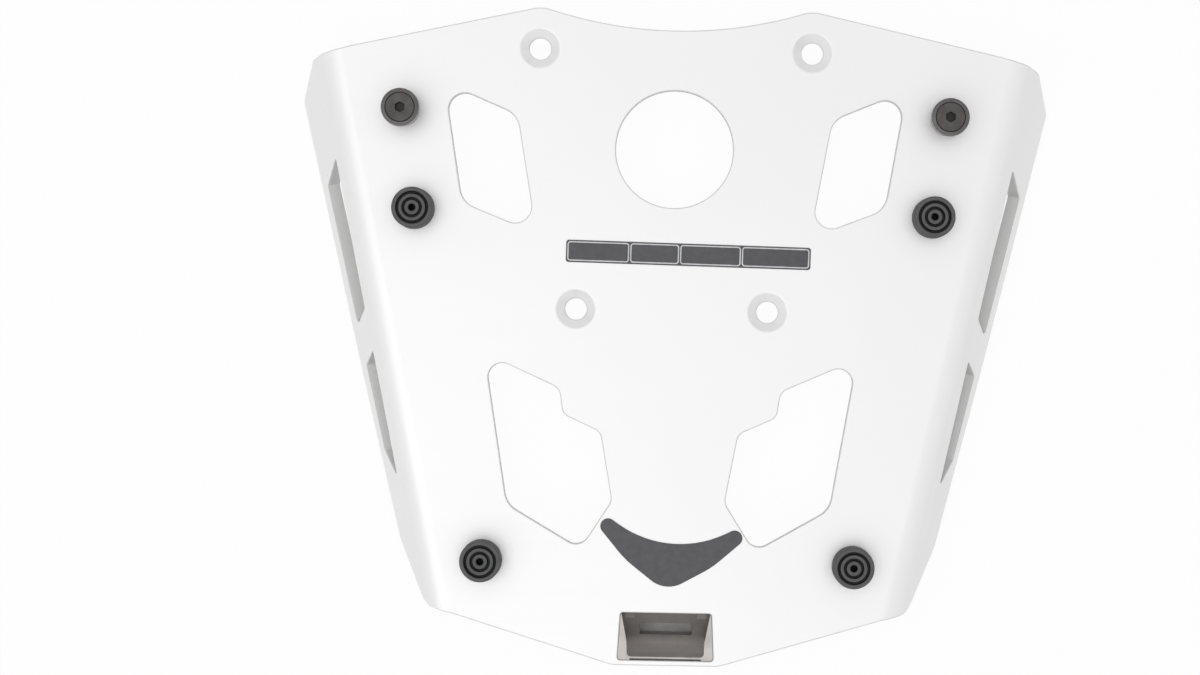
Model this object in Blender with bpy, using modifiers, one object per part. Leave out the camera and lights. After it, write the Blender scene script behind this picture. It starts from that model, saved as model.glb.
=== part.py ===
# Motorcycle top case rack: a folded aluminium plate with its case pins, rubber pads and catch.
# Metres. +Y points to the front of the bike, +Z up, and the rack stands on Z = 0.
import bpy
import bmesh
from math import acos, ceil, cos, pi, radians, sin, tan
from mathutils import Matrix, Vector

# Clearances
FIT = 0.0003                # between pieces that touch
FILM_SEAT = 0.0001          # between a film and the plate
OVERCUT = 0.002             # how far a cutter runs past what it cuts
WELD = 0.000001             # points closer than this become one

# Sheet and folds
SHEET = 0.005               # thickness
PLATE_LENGTH = 0.2793       # from the ears to the rear edge
FRONT = PLATE_LENGTH / 2    # the ears' Y
REAR = -PLATE_LENGTH / 2    # the rear edge's Y
FOLD_START = 0.1142         # from the centre line to each fold, square to the fold
FOLD_LEAN = radians(12.0)   # the folds close in towards the rear
FOLD_ANGLE = radians(65.0)  # of the flanges below the plate
FOLD_RADIUS = 0.011         # outside
FOLD_FACETS = 12

# Front edge: a shallow scoop between two ears
EAR_X = 0.05735
EAR_RADIUS = 0.014
SCOOP_SLOPE = radians(17.3)
SCOOP_RADIUS = 0.182
EAR_FALL = radians(12.46)   # slope of the edge outside the ears
EAR_Y = FRONT + EAR_RADIUS * (cos((SCOOP_SLOPE - EAR_FALL) / 2)
                              / cos((SCOOP_SLOPE + EAR_FALL) / 2) - 1)    # of the corner itself

# Rear edge: a flat between two diagonals
REAR_FLAT = 0.0227          # half its length
REAR_RADIUS = 0.015

# Flange edge, as (along the fold, down the flange, radius)
FLANGE_AHEAD = EAR_X * sin(FOLD_LEAN) + EAR_Y * cos(FOLD_LEAN)     # the ears, along the fold
FLANGE_BEHIND = REAR * cos(FOLD_LEAN)                              # the rear edge, along the fold
SHOULDER_DOWN = -0.0142     # where the front edge enters the fold
SHOULDER_RADIUS = 0.060
FLANGE_FRONT = (FLANGE_AHEAD - 0.0021, 0.0115, 0.007)
FLANGE_FOOT = (FLANGE_AHEAD - 0.0166, 0.0338, 0.0025)
FLANGE_BEND = (0.0200, 0.0262, 0.100)
FLANGE_HEEL = (FLANGE_BEHIND + 0.0739, 0.0183, 0.006)
FLANGE_REAR = (FLANGE_BEHIND + 0.0467, 0.0037, 0.012)

# Slots in each flange: their lower edge drops towards the front
SLOT_TOP = 0.0066
SLOT_FLOOR = 0.0170         # lower edge where the slots' own axis is level with the middle
SLOT_TAPER = 0.065
SLOT_TIP_RADIUS = 0.0006
SLOT_RADIUS = 0.0018
SLOT_FRONT = (FLANGE_AHEAD - 0.0460, FLANGE_AHEAD - 0.0557, 0.0319, 0.0379)    # top front,
SLOT_REAR = (0.0187, 0.0135, FLANGE_BEHIND + 0.1128, FLANGE_BEHIND + 0.1010)   # floor, floor, top

# Openings in the flat, left side, as (x, y, radius)
HANDLE_HOLE_Y = FRONT - 0.0594
HANDLE_HOLE_RADIUS = 0.025
UPPER_CUT = [(-0.0984, FRONT - 0.0327, 0.007), (-0.0672, FRONT - 0.0457, 0.010),
             (-0.0584, FRONT - 0.0959, 0.007), (-0.0901, FRONT - 0.0834, 0.010)]
LOWER_CUT = [(-0.0793, REAR + 0.1317, 0.006), (-0.0472, REAR + 0.1174, 0.0055),
             (-0.0456, REAR + 0.1064, 0.005), (-0.0294, REAR + 0.0991, 0.005),
             (-0.0241, REAR + 0.0698, 0.006), (-0.0371, REAR + 0.0493, 0.006),
             (-0.0687, REAR + 0.0676, 0.010)]

# Countersunk holes for the rack's own M8 screws
BOLT_HOLE_RADIUS = 0.0046
COUNTERSINK_RADIUS = 0.0084
FRONT_BOLTS = (0.0580, FRONT - 0.0173)
REAR_BOLTS = (0.0408, 0.01165)

# Case pins with their M6 screws, washers and nuts
PIN_PLACE = (0.1158, FRONT - 0.04465)
PIN_HEIGHT = 0.016
PIN_HEAD_RADIUS = 0.0080
PIN_HEAD_DEPTH = 0.0045
PIN_NECK_RADIUS = 0.0050
PIN_FOOT_RADIUS = 0.0070
PIN_FOOT_DEPTH = 0.0030
PIN_EDGE = 0.0008           # bevel on its rims
PIN_CROWN = 0.0003          # how far the head's top falls towards the rim
SCREW_RADIUS = 0.0029
SCREW_HEAD_RADIUS = 0.0060
SCREW_HEAD_RIM = 0.0003
SCREW_LENGTH = 0.030
HEX_SOCKET = 0.004          # across flats
HEX_SOCKET_DEPTH = 0.0024
WASHER_RADIUS = 0.0062
WASHER_DEPTH = 0.0016
NUT_WIDTH = 0.010           # across flats
NUT_DEPTH = 0.005

# Rubber pads
PAD_PLACES = {"front": (0.1103, FRONT - 0.08655), "rear": (0.0789, REAR + 0.04385)}
PAD_HEIGHT = 0.0125
PAD_RADIUS = 0.0087
PAD_DRAFT = 0.0001
PAD_EDGE = 0.0005           # bevel on its rims
PAD_STEM_RADIUS = 0.0047
PAD_BARB_RADIUS = 0.0066
PAD_BARB_DEPTH = 0.0050
PAD_BORE_RADIUS = 0.0015
PAD_BORE_DEPTH = 0.0080
PAD_GROOVES = (0.0037, 0.00635)       # radii of the grooves' middles
PAD_GROOVE_WIDTH = 0.0010
PAD_GROOVE_DEPTH = 0.0025
PAD_GROOVE_SLOPE = 0.0002   # how far a groove's walls lean

# Catch: the opening in the plate is a little wider at the rear
CATCH_FRONT = (0.01940, REAR + 0.02245)      # half width, y
CATCH_REAR = (0.02045, REAR + 0.00225)
CATCH_CORNER = 0.0013
POCKET_FRONT_HALF = 0.0188
POCKET_STRAIGHT = 0.0010    # of its sides, from the opening's front edge
POCKET_KINK = (0.0166, 0.0123)        # half width, from the opening's front edge
POCKET_REAR_HALF = 0.0164
POCKET_CORNER = 0.0018
POCKET_REAR_WALL = 0.0015   # at the top, from the opening's edge
POCKET_DRAFT = 0.0040       # how far the rear wall leans over its height
POCKET_DEPTH = 0.0190
LIP_RECESS = 0.0007         # hollow behind the lip
LIP_RECESS_HALF = 0.0151
SLOT_HALF = 0.0113          # lock slot in the ramp
SLOT_NEAR = 0.0052          # from the opening's front edge
SLOT_FAR = 0.01065
SLOT_CORNER = 0.0004
SLOT_DEPTH = 0.0295
SPOT_RADIUS = 0.0022        # flat seats cut in the ramp
SPOT_X = 0.0153
SPOT_BACK = 0.0023
SPOT_DEPTH = 0.0083
COLLAR = 0.0030             # flange of the housing under the sheet
COLLAR_HALF = 0.0325
COLLAR_FRONT = 0.0045       # ahead of the opening
COLLAR_REAR = 0.0030        # inside the opening's rear edge
COLLAR_EAR = 0.0060         # radius round each stud
CORE_WALL = 0.0030
STUD_AHEAD = 0.01345        # of the rear edge
STUD_PLACE = (0.0265, REAR + STUD_AHEAD)
STUD_RADIUS = 0.0019
STUD_HEAD_RADIUS = 0.0034
STUD_HEAD_DEPTH = 0.0018
STUD_LENGTH = 0.0095        # below the sheet
STUD_NUT_WIDTH = 0.007
STUD_NUT_DEPTH = 0.0032

# Films stuck to the plate
FILM = 0.0003
BADGE_AHEAD = 0.0569        # of the rear edge
BADGE_PLACE = (0.00164, REAR + BADGE_AHEAD)
BADGE_ANGLE = radians(-4.5)
BADGE_EDGE = [(0.0, -0.0118, 0.045), (0.0463, 0.0151, 0.0033),
              (0.0187, -0.0132, 0.040), (0.0, -0.0255, 0.012)]
LABEL_X = 0.0067
LABEL_DROP = 0.00215        # below the middle between the handle hole and the rear bolt holes
LABEL_Y = (HANDLE_HOLE_Y - HANDLE_HOLE_RADIUS + REAR_BOLTS[1] + COUNTERSINK_RADIUS) / 2 - LABEL_DROP
LABEL_ANGLE = radians(-0.9)
LABEL_SIZE = (0.1042, 0.0095)
LABEL_CORNER = 0.0012

# Facets
ARC_STEP = radians(12.0)    # the widest step along an arc
ARC_ERROR = 0.00003         # how far a long arc's facets may lie inside it
LARGE_HOLE_SIDES = 72
BOLT_HOLE_SIDES = 36
PIN_STEPS = 36
PAD_STEPS = 28
SMALL_STEPS = 24

# Heights that follow from the flange's foot, which is the lowest point of the sheet
FOLD_NEUTRAL = FOLD_RADIUS - SHEET / 2
FOLD_LENGTH = FOLD_NEUTRAL * FOLD_ANGLE
PLATE_TOP = (FOLD_RADIUS * (1 - cos(FOLD_ANGLE)) + FLANGE_FOOT[1] * sin(FOLD_ANGLE)
             + SHEET * cos(FOLD_ANGLE))
PLATE_UNDER = PLATE_TOP - SHEET
SIDES = {"left": -1, "right": 1}


def clear_scene():
    for item in list(bpy.data.objects):
        bpy.data.objects.remove(item)


def new_collection(name):
    collection = bpy.data.collections.new(name)
    bpy.context.scene.collection.children.link(collection)
    return collection


def new_material(name, colour, roughness, metallic):
    material = bpy.data.materials.new(name)
    material.use_nodes = True
    shader = material.node_tree.nodes["Principled BSDF"]
    shader.inputs["Base Color"].default_value = (*colour, 1.0)
    shader.inputs["Roughness"].default_value = roughness
    shader.inputs["Metallic"].default_value = metallic
    return material


def new_object(name, mesh, collection, material=None, place=(0, 0, 0), turn=0.0):
    """An object of that mesh, shaded smooth up to 35 degrees."""
    item = bpy.data.objects.new(name, mesh)
    item.location = place
    item.rotation_euler.z = turn
    collection.objects.link(item)
    mesh.shade_smooth()
    mesh.set_sharp_from_angle(angle=radians(35))
    if material:
        mesh.materials.append(material)
    return item


def as_cutter(item):
    item.display_type = 'WIRE'
    item.hide_render = True
    return item


def combine(target, tool, operation='DIFFERENCE'):
    """Cuts the target with the tool, or joins the tool to it."""
    step = target.modifiers.new(tool.name, 'BOOLEAN')
    step.operation = operation
    step.solver = 'EXACT'
    step.object = tool


def rounded(corners):
    """Outline points of (x, y, radius) corners, each corner turned into its arc."""
    spots = [Vector(corner[:2]) for corner in corners]
    lengths = [(spot - spots[index - 1]).length for index, spot in enumerate(spots)]
    halves, reaches = [], []
    for index, spot in enumerate(spots):
        before = (spots[index - 1] - spot).normalized()
        after = (spots[(index + 1) % len(spots)] - spot).normalized()
        halves.append(acos(max(-1.0, min(1.0, before.dot(after)))) / 2)
        reaches.append(corners[index][2] / tan(halves[-1]))
    points = []
    for index, spot in enumerate(spots):
        follower = (index + 1) % len(spots)
        room = min(1.0, lengths[index] / max(WELD, reaches[index - 1] + reaches[index]),
                   lengths[follower] / max(WELD, reaches[index] + reaches[follower]))
        reach = reaches[index] * room
        if reach < WELD:
            points.append(tuple(spot))
            continue
        before = (spots[index - 1] - spot).normalized()
        after = (spots[follower] - spot).normalized()
        middle = spot + (before + after).normalized() * reach / cos(halves[index])
        start = spot + before * reach - middle
        sweep = start.angle_signed(spot + after * reach - middle)
        step_angle = min(ARC_STEP, 2 * acos(1 - min(1.0, ARC_ERROR / start.length)))
        count = max(2, ceil(abs(sweep) / step_angle))
        points += [tuple(middle + Matrix.Rotation(-sweep * step / count, 2) @ start)
                   for step in range(count + 1)]
    return points


def circle(x, y, radius, sides):
    return [(x + radius * cos(2 * pi * k / sides), y + radius * sin(2 * pi * k / sides))
            for k in range(sides)]


def mirrored(outline):
    return [(-x, y) for x, y in reversed(outline)]


def both_halves(right_corners):
    """A symmetric outline from its right half, listed front to rear; ends at x = 0 stay single."""
    left = [(-x, y, radius) for x, y, radius in reversed(right_corners) if x > WELD]
    return rounded(right_corners + left)


def weld(mesh):
    bm = bmesh.new()
    bm.from_mesh(mesh)
    bmesh.ops.remove_doubles(bm, verts=bm.verts, dist=WELD)
    bmesh.ops.recalc_face_normals(bm, faces=bm.faces)
    bm.to_mesh(mesh)
    bm.free()


def flat_mesh(name, outlines, low, high):
    """The mesh of a flat piece between two heights, from its outer outline and its holes."""
    curve = bpy.data.curves.new(name, 'CURVE')
    curve.dimensions = '2D'
    curve.fill_mode = 'BOTH'
    curve.extrude = (high - low) / 2
    for outline in outlines:
        spline = curve.splines.new('POLY')
        spline.points.add(len(outline) - 1)
        for point, (x, y) in zip(spline.points, outline):
            point.co = (x, y, 0.0, 1.0)
        spline.use_cyclic_u = True
    holder = bpy.data.objects.new(name, curve)
    bpy.context.scene.collection.objects.link(holder)
    shown = holder.evaluated_get(bpy.context.evaluated_depsgraph_get())
    mesh = bpy.data.meshes.new_from_object(shown)
    bpy.data.objects.remove(holder)
    bpy.data.curves.remove(curve)
    mesh.transform(Matrix.Translation((0, 0, (high + low) / 2)))
    weld(mesh)
    return mesh


def section_mesh(name, section, half_width):
    """The mesh of a (y, z) section drawn out along X to both sides."""
    mesh = flat_mesh(name, [section], -half_width, half_width)
    mesh.transform(Matrix(((0, 0, 1, 0), (1, 0, 0, 0), (0, 1, 0, 0), (0, 0, 0, 1))))
    return mesh


def turned(name, profile, steps, collection, material=None, place=(0, 0, 0), closed=False):
    """A turned piece about Z from (radius, height) points that run down its outer side."""
    edges = [(k, k + 1) for k in range(len(profile) - 1)]
    if closed:
        edges.append((len(profile) - 1, 0))
    mesh = bpy.data.meshes.new(name)
    mesh.from_pydata([(radius, 0, height) for radius, height in profile], edges, [])
    item = new_object(name, mesh, collection, material, place)
    screw = item.modifiers.new("Turn", 'SCREW')
    screw.steps = steps
    screw.render_steps = steps
    screw.use_merge_vertices = True
    screw.merge_threshold = WELD
    return item


def hexagon_mesh(name, width, low, high):
    """A hexagonal prism about Z, its width measured across flats."""
    bm = bmesh.new()
    across_corners = width / 2 / cos(pi / 6)
    bmesh.ops.create_cone(bm, cap_ends=True, segments=6, radius1=across_corners,
                          radius2=across_corners, depth=high - low)
    bmesh.ops.translate(bm, verts=bm.verts, vec=(0, 0, (high + low) / 2))
    mesh = bpy.data.meshes.new(name)
    bm.to_mesh(mesh)
    bm.free()
    return mesh


def on_blank(along, down):
    """Where a point of the right flange lies on the flat blank, before folding."""
    out = FOLD_START + FOLD_LENGTH + down
    return (along * sin(FOLD_LEAN) + out * cos(FOLD_LEAN),
            along * cos(FOLD_LEAN) - out * sin(FOLD_LEAN))


def plate_outline():
    ear_out = EAR_X * cos(FOLD_LEAN) - EAR_Y * sin(FOLD_LEAN)
    shoulder_out = FOLD_START + FOLD_LENGTH + SHOULDER_DOWN
    shoulder = FLANGE_AHEAD - (shoulder_out - ear_out) * tan(EAR_FALL - FOLD_LEAN)
    flange = [(shoulder, SHOULDER_DOWN, SHOULDER_RADIUS), FLANGE_FRONT, FLANGE_FOOT, FLANGE_BEND,
              FLANGE_HEEL, FLANGE_REAR]
    return both_halves([(0.0, EAR_Y - EAR_X * tan(SCOOP_SLOPE), SCOOP_RADIUS),
                        (EAR_X, EAR_Y, EAR_RADIUS)]
                       + [(*on_blank(along, down), radius) for along, down, radius in flange]
                       + [(REAR_FLAT, REAR, REAR_RADIUS)])


def flange_slot(top_front, floor_front, floor_rear, top_rear):
    corners = [(top_front, SLOT_TOP, SLOT_TIP_RADIUS),
               (floor_front, SLOT_FLOOR + SLOT_TAPER * floor_front, SLOT_RADIUS),
               (floor_rear, SLOT_FLOOR + SLOT_TAPER * floor_rear, SLOT_RADIUS),
               (top_rear, SLOT_TOP, SLOT_TIP_RADIUS)]
    return rounded([(*on_blank(along, down), radius) for along, down, radius in corners])


def catch_outline(inset=0.0):
    front_half, front_y = CATCH_FRONT
    rear_half, rear_y = CATCH_REAR
    return both_halves([(front_half - inset, front_y - inset, CATCH_CORNER),
                        (rear_half - inset, rear_y + inset, CATCH_CORNER)])


def fold_down(bm, side):
    """Bends the blank down beyond one fold; the sheet's middle keeps its length."""
    across = Vector((side * cos(FOLD_LEAN), -sin(FOLD_LEAN), 0))
    for facet in range(FOLD_FACETS + 1):
        reach = FOLD_START + FOLD_LENGTH * facet / FOLD_FACETS
        bmesh.ops.bisect_plane(bm, geom=bm.verts[:] + bm.edges[:] + bm.faces[:], dist=WELD,
                               plane_co=across * reach, plane_no=across)
    for vert in bm.verts:
        past = vert.co.dot(across) - FOLD_START
        if past <= 0:
            continue
        turn = min(past / FOLD_NEUTRAL, FOLD_ANGLE)
        beyond = max(0.0, past - FOLD_LENGTH)
        radius = FOLD_RADIUS - (PLATE_TOP - vert.co.z)
        out = radius * sin(turn) + beyond * cos(FOLD_ANGLE)
        vert.co += across * (out - past)
        vert.co.z = PLATE_TOP - FOLD_RADIUS + radius * cos(turn) - beyond * sin(FOLD_ANGLE)


def make_plate(parts, cutters, material):
    slots = [flange_slot(*SLOT_FRONT), flange_slot(*SLOT_REAR)]
    cuts = [rounded(UPPER_CUT), rounded(LOWER_CUT)]
    outlines = [plate_outline(), catch_outline(),
                circle(0, HANDLE_HOLE_Y, HANDLE_HOLE_RADIUS, LARGE_HOLE_SIDES)]
    outlines += slots + cuts + [mirrored(outline) for outline in slots + cuts]
    for side in SIDES.values():
        outlines.append(circle(side * PIN_PLACE[0], PIN_PLACE[1], SCREW_RADIUS + FIT, SMALL_STEPS))
        for x, y in PAD_PLACES.values():
            outlines.append(circle(side * x, y, PAD_STEM_RADIUS + FIT, PAD_STEPS))
    mesh = flat_mesh("rack_plate", outlines, PLATE_UNDER, PLATE_TOP)
    bm = bmesh.new()
    bm.from_mesh(mesh)
    for side in SIDES.values():
        fold_down(bm, side)
    bm.to_mesh(mesh)
    bm.free()
    plate = new_object("rack_plate", mesh, parts, material)
    for name, side in SIDES.items():
        for row, (x, y) in (("front", FRONT_BOLTS), ("rear", REAR_BOLTS)):
            cone = COUNTERSINK_RADIUS + OVERCUT
            profile = [(0, PLATE_TOP + OVERCUT), (cone, PLATE_TOP + OVERCUT),
                       (BOLT_HOLE_RADIUS, PLATE_TOP - COUNTERSINK_RADIUS + BOLT_HOLE_RADIUS),
                       (BOLT_HOLE_RADIUS, PLATE_UNDER - OVERCUT), (0, PLATE_UNDER - OVERCUT)]
            combine(plate, as_cutter(turned(f"bolt_hole_{row}_{name}", profile, BOLT_HOLE_SIDES,
                                            cutters, place=(side * x, y, 0))))
        seat = [(0, PLATE_UNDER + STUD_HEAD_DEPTH + FIT),
                (STUD_HEAD_RADIUS + FIT, PLATE_UNDER + STUD_HEAD_DEPTH + FIT),
                (STUD_HEAD_RADIUS + FIT, PLATE_UNDER - OVERCUT), (0, PLATE_UNDER - OVERCUT)]
        combine(plate, as_cutter(turned(f"stud_seat_{name}", seat, SMALL_STEPS, cutters,
                                        place=(side * STUD_PLACE[0], STUD_PLACE[1], 0))))


def make_pin(name, x, parts, cutters, materials):
    """One case pin with the screw, washer and nut that hold it to the plate."""
    place = (x, PIN_PLACE[1], 0)
    foot = PLATE_TOP + FIT
    top = PLATE_TOP + PIN_HEIGHT
    bore = SCREW_RADIUS + FIT
    seat = SCREW_HEAD_RADIUS + FIT
    head = top - PIN_HEAD_DEPTH
    rim = PIN_HEAD_RADIUS - PIN_EDGE
    pin = [(seat, top), (rim, top - PIN_CROWN), (PIN_HEAD_RADIUS, top - PIN_CROWN - PIN_EDGE),
           (PIN_HEAD_RADIUS, head + PIN_EDGE), (rim, head),
           (PIN_NECK_RADIUS, head - (rim - PIN_NECK_RADIUS) / 2),
           (PIN_NECK_RADIUS, foot + PIN_FOOT_DEPTH),
           (PIN_FOOT_RADIUS - PIN_EDGE, foot + PIN_FOOT_DEPTH),
           (PIN_FOOT_RADIUS, foot + PIN_FOOT_DEPTH - PIN_EDGE), (PIN_FOOT_RADIUS, foot), (bore, foot),
           (bore, top - SCREW_HEAD_RIM - seat + bore), (seat, top - SCREW_HEAD_RIM)]
    turned(f"case_pin_{name}", pin, PIN_STEPS, parts, materials["pin"], place, closed=True)

    tip = top - SCREW_LENGTH
    point = SCREW_RADIUS / 4      # bevel at the screw's end
    cone = top - SCREW_HEAD_RIM
    shank = [(0, top), (SCREW_HEAD_RADIUS, top), (SCREW_HEAD_RADIUS, cone),
             (SCREW_RADIUS, cone - SCREW_HEAD_RADIUS + SCREW_RADIUS), (SCREW_RADIUS, tip + point),
             (SCREW_RADIUS - point, tip), (0, tip)]
    screw = turned(f"pin_screw_{name}", shank, PIN_STEPS, parts, materials["screw"], place)
    socket = hexagon_mesh(f"hex_socket_{name}", HEX_SOCKET, top - HEX_SOCKET_DEPTH, top + OVERCUT)
    combine(screw, as_cutter(new_object(f"hex_socket_{name}", socket, cutters, place=place)))

    washer_top = PLATE_UNDER - FIT
    washer_under = washer_top - WASHER_DEPTH
    ring = [(WASHER_RADIUS, washer_top), (WASHER_RADIUS, washer_under), (bore, washer_under),
            (bore, washer_top)]
    turned(f"pin_washer_{name}", ring, PIN_STEPS, parts, materials["fixing"], place, closed=True)
    make_nut(f"pin_nut_{name}", place, NUT_WIDTH, NUT_DEPTH, washer_under - FIT, bore,
             parts, cutters, materials["fixing"])


def make_nut(name, place, width, depth, top, bore, parts, cutters, material):
    """A hexagon nut below the given height, its corners turned off at 30 degrees."""
    nut = new_object(name, hexagon_mesh(name, width, top - depth, top), parts, material, place)
    face = width / 2 * 0.97       # radius of the flat that the chamfers leave
    reach = width / 2 / cos(pi / 6) + FIT
    fall = tan(radians(30))
    drop = (reach - face) * fall
    inner = face - FIT / fall
    body = [(0, top + FIT), (inner, top + FIT), (reach, top - drop), (reach, top - depth + drop),
            (inner, top - depth - FIT), (0, top - depth - FIT)]
    combine(nut, as_cutter(turned(f"{name}_corners", body, SMALL_STEPS, cutters, place=place)),
            'INTERSECT')
    hole = [(0, top + OVERCUT), (bore, top + OVERCUT), (bore, top - depth - OVERCUT),
            (0, top - depth - OVERCUT)]
    combine(nut, as_cutter(turned(f"{name}_bore", hole, SMALL_STEPS, cutters, place=place)))


def make_pad(name, x, y, parts, material):
    """A rubber pad: ringed top, bore, stem through the plate and a barb under it."""
    top = PLATE_TOP + PAD_HEIGHT
    base = PLATE_TOP + FIT
    barb_top = PLATE_UNDER - FIT
    floor = top - PAD_GROOVE_DEPTH
    half = PAD_GROOVE_WIDTH / 2
    profile = [(0, top - PAD_BORE_DEPTH), (PAD_BORE_RADIUS, top - PAD_BORE_DEPTH),
               (PAD_BORE_RADIUS, top - PAD_EDGE), (PAD_BORE_RADIUS + PAD_EDGE, top)]
    for groove in PAD_GROOVES:
        profile += [(groove - half, top), (groove - half + PAD_GROOVE_SLOPE, floor),
                    (groove + half - PAD_GROOVE_SLOPE, floor), (groove + half, top)]
    profile += [(PAD_RADIUS - PAD_EDGE, top), (PAD_RADIUS, top - PAD_EDGE),
                (PAD_RADIUS + PAD_DRAFT, base), (PAD_STEM_RADIUS, base), (PAD_STEM_RADIUS, barb_top),
                (PAD_BARB_RADIUS, barb_top), (PAD_BARB_RADIUS, barb_top - PAD_EDGE * 2),
                (PAD_STEM_RADIUS - PAD_EDGE, barb_top - PAD_BARB_DEPTH),
                (0, barb_top - PAD_BARB_DEPTH)]
    turned(name, profile, PAD_STEPS, parts, material, (x, y, 0))


def catch_ramp():
    """The pocket's (y, z) section: a ramp from under the sheet, a floor line and the rear wall."""
    rear = CATCH_REAR[1] + POCKET_REAR_WALL
    floor_z = PLATE_TOP - POCKET_DEPTH
    floor_y = rear + POCKET_DRAFT
    ramp_top = PLATE_UNDER - FIT * 2
    fall = (ramp_top - floor_z) / (CATCH_FRONT[1] - floor_y)
    above = PLATE_TOP + OVERCUT
    lean = POCKET_DRAFT / POCKET_DEPTH
    return [(CATCH_FRONT[1] + (above - ramp_top) / fall, above), (floor_y, floor_z),
            (rear - lean * OVERCUT, above)]


def make_catch(parts, cutters, materials):
    under = PLATE_UNDER - FIT
    housing = new_object("catch_housing", flat_mesh("catch_housing", [catch_outline(FIT)], 0.0,
                                                    PLATE_TOP), parts, materials["catch"])
    ear_x, ear_y = STUD_PLACE
    front_y = CATCH_FRONT[1] + COLLAR_FRONT
    collar = both_halves([(CATCH_FRONT[0] + COLLAR_FRONT, front_y, COLLAR_FRONT),
                          (COLLAR_HALF, ear_y + COLLAR_EAR, COLLAR_EAR),
                          (COLLAR_HALF, ear_y - COLLAR_EAR, COLLAR_EAR),
                          (CATCH_REAR[0], CATCH_REAR[1] + COLLAR_REAR, COLLAR_REAR)])
    flange = new_object("catch_collar", flat_mesh("catch_collar", [collar], under - COLLAR, under),
                        cutters)
    combine(housing, as_cutter(flange), 'UNION')

    plan = both_halves([(POCKET_FRONT_HALF, CATCH_FRONT[1] + COLLAR_FRONT, 0.0),
                        (POCKET_FRONT_HALF, CATCH_FRONT[1] - POCKET_STRAIGHT, POCKET_CORNER),
                        (POCKET_KINK[0], CATCH_FRONT[1] - POCKET_KINK[1], POCKET_CORNER),
                        (POCKET_REAR_HALF, CATCH_REAR[1] + POCKET_REAR_WALL, POCKET_CORNER)])
    pocket = new_object("catch_pocket", flat_mesh("catch_pocket", [plan],
                                                  PLATE_TOP - POCKET_DEPTH - OVERCUT,
                                                  PLATE_TOP + OVERCUT / 2), cutters)
    ramp = new_object("catch_ramp", section_mesh("catch_ramp", catch_ramp(), CATCH_REAR[0]), cutters)
    combine(pocket, as_cutter(ramp), 'INTERSECT')
    combine(housing, as_cutter(pocket))

    slot_rear = CATCH_FRONT[1] - SLOT_FAR
    slot_front = CATCH_FRONT[1] - SLOT_NEAR
    slot = both_halves([(SLOT_HALF, slot_front, SLOT_CORNER), (SLOT_HALF, slot_rear, SLOT_CORNER)])
    lock_slot = new_object("lock_slot", flat_mesh("lock_slot", [slot], PLATE_TOP - SLOT_DEPTH,
                                                  PLATE_TOP + OVERCUT), cutters)
    combine(housing, as_cutter(lock_slot))

    back = CATCH_REAR[1]
    recess = rounded([(-LIP_RECESS_HALF, back + FIT + LIP_RECESS, LIP_RECESS / 2),
                      (LIP_RECESS_HALF, back + FIT + LIP_RECESS, LIP_RECESS / 2),
                      (LIP_RECESS_HALF, back - OVERCUT, 0), (-LIP_RECESS_HALF, back - OVERCUT, 0)])
    hollow = new_object("lip_recess", flat_mesh("lip_recess", [recess], PLATE_UNDER + FIT,
                                                PLATE_TOP + OVERCUT), cutters)
    combine(housing, as_cutter(hollow))

    core_top = PLATE_TOP - SLOT_DEPTH - CORE_WALL
    core_half = CATCH_FRONT[0] - CORE_WALL
    for name, side in SIDES.items():
        spot = [(0, PLATE_TOP), (SPOT_RADIUS, PLATE_TOP), (SPOT_RADIUS, PLATE_TOP - SPOT_DEPTH),
                (0, PLATE_TOP - SPOT_DEPTH)]
        combine(housing, as_cutter(turned(f"spot_face_{name}", spot, SMALL_STEPS, cutters,
                                          place=(side * SPOT_X, CATCH_FRONT[1] - SPOT_BACK, 0))))
        core = rounded([(side * x, y, CORE_WALL / 2) for x, y in
                        ((CORE_WALL / 2, CATCH_FRONT[1] - CORE_WALL),
                         (core_half, CATCH_FRONT[1] - CORE_WALL),
                         (core_half, back + CORE_WALL), (CORE_WALL / 2, back + CORE_WALL))])
        combine(housing, as_cutter(new_object(f"core_{name}", flat_mesh(
            f"core_{name}", [core], -OVERCUT, core_top), cutters)))
        hole = [(0, under + OVERCUT), (STUD_RADIUS + FIT, under + OVERCUT),
                (STUD_RADIUS + FIT, under - COLLAR - OVERCUT), (0, under - COLLAR - OVERCUT)]
        stud_place = (side * ear_x, ear_y, 0)
        combine(housing, as_cutter(turned(f"stud_hole_{name}", hole, SMALL_STEPS, cutters,
                                          place=stud_place)))
        head = PLATE_UNDER + STUD_HEAD_DEPTH
        stud = [(0, head), (STUD_HEAD_RADIUS, head), (STUD_HEAD_RADIUS, PLATE_UNDER),
                (STUD_RADIUS, PLATE_UNDER), (STUD_RADIUS, PLATE_UNDER - STUD_LENGTH),
                (0, PLATE_UNDER - STUD_LENGTH)]
        turned(f"catch_stud_{name}", stud, SMALL_STEPS, parts, materials["fixing"], stud_place)
        make_nut(f"catch_nut_{name}", stud_place, STUD_NUT_WIDTH, STUD_NUT_DEPTH,
                 under - COLLAR - FIT, STUD_RADIUS + FIT, parts, cutters, materials["fixing"])


def make_films(parts, materials):
    low = PLATE_TOP + FILM_SEAT
    badge = flat_mesh("badge", [both_halves(BADGE_EDGE)], low, low + FILM)
    new_object("badge", badge, parts, materials["film"], (*BADGE_PLACE, 0), BADGE_ANGLE)
    half_x, half_y = LABEL_SIZE[0] / 2, LABEL_SIZE[1] / 2
    strip = both_halves([(half_x, half_y, LABEL_CORNER), (half_x, -half_y, LABEL_CORNER)])
    label = flat_mesh("label_strip", [strip], low, low + FILM)
    new_object("label_strip", label, parts, materials["film"], (LABEL_X, LABEL_Y, 0), LABEL_ANGLE)


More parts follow.
